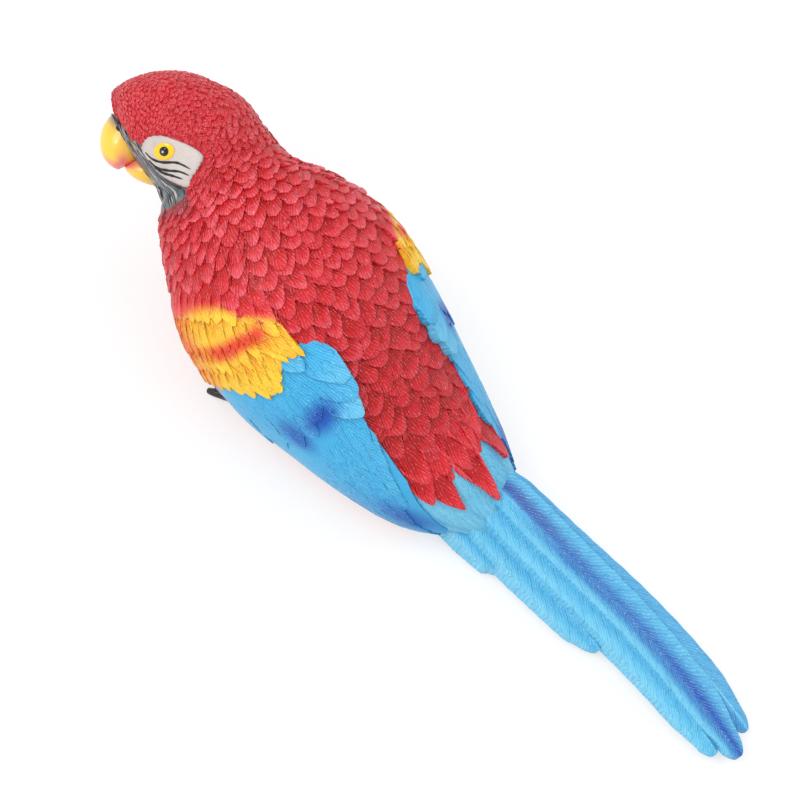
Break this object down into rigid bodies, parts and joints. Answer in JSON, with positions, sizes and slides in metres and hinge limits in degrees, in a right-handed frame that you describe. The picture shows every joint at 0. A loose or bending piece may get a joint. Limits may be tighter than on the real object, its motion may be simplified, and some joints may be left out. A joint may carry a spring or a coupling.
{
  "type": "parrot figurine",
  "caption": "Painted resin macaw figurine with layered feathers, folded wings, a long tail and a turned head, flat beneath with a blind hole to hang it on a wall",
  "frame": {"origin": "on the flat face that meets the wall, below the middle of the body", "axes": "+Y to the head, +Z out of the wall to the bird's back, +X to the bird's right"},
  "size_m": [0.0862, 0.3106, 0.0828],
  "materials": {
    "painted_resin": "semi-gloss paint on cast resin"
  },
  "bodies": {
    "root": {"parrot": "painted_resin"}
  },
  "joints": []
}
